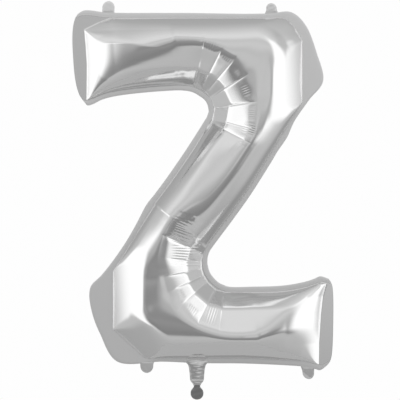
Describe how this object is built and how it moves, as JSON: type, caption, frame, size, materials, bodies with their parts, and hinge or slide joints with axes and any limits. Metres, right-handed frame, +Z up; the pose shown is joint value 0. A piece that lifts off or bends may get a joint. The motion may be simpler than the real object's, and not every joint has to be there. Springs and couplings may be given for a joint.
{
  "type": "letter foil balloon",
  "caption": "Inflated silver foil balloon in the shape of a letter Z, with a welded edge, hanging tabs and a filling neck.",
  "frame": {"origin": "middle of the letter, half way up it and across it, in the plane between the two sheets", "axes": "+Z up along the letter, +X to the right as the letter is read from the front, +Y from the front to the back"},
  "size_m": [0.6265, 0.162, 0.9582],
  "materials": {
    "foil": "bright metallised film, mirror-like with fine crinkles",
    "tab_film": "doubled metallised film, flat and slightly dull",
    "pull_film": "grey film, slightly dull"
  },
  "bodies": {
    "root": {"front_foil_panel": "foil", "back_foil_panel": "foil", "tab_top_left": "tab_film", "tab_top_right": "tab_film", "tab_bottom_left": "tab_film", "tab_bottom_right": "tab_film", "neck_front_film": "foil", "neck_back_film": "foil", "neck_pull_end": "pull_film"}
  },
  "joints": []
}
